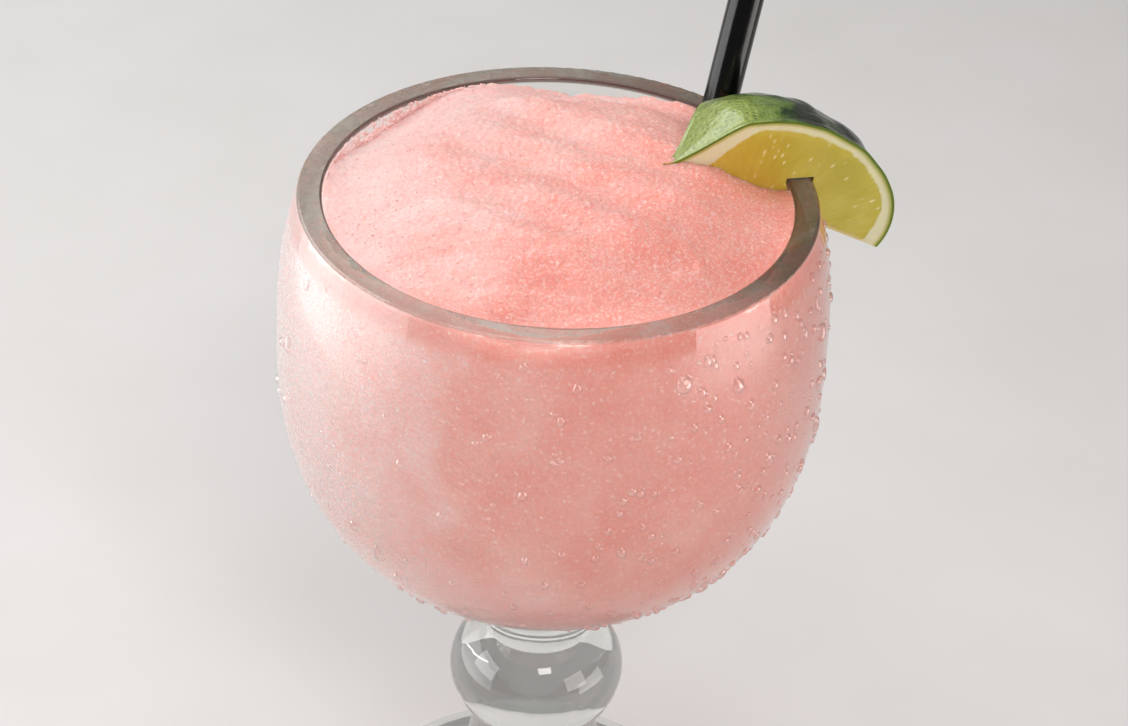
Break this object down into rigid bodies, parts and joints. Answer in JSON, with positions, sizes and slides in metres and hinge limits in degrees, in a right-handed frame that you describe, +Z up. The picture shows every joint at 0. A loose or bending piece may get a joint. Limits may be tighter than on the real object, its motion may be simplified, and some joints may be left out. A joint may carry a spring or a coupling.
{
  "type": "frozen margarita",
  "caption": "Pink frozen margarita heaped in a footed schooner glass with a ball knop and bell foot, with a black straw leaning on the rim and a lime wedge slit over it.",
  "frame": {"origin": "centre of the glass's flat underside, on the glass's axis", "axes": "+Z up along the glass's axis; the lime wedge hangs over the rim on the +X side and the straw leans into the +X +Y quarter"},
  "size_m": [0.1239, 0.1155, 0.28],
  "materials": {
    "clear_glass": "clear pressed glass, fire-polished, wet outside",
    "pink_slush": null,
    "black_plastic": "extruded, smooth",
    "lime": null
  },
  "bodies": {
    "root": {"glass": "clear_glass", "frozen_drink": "pink_slush", "straw": "black_plastic", "lime_wedge": "lime"}
  },
  "joints": []
}
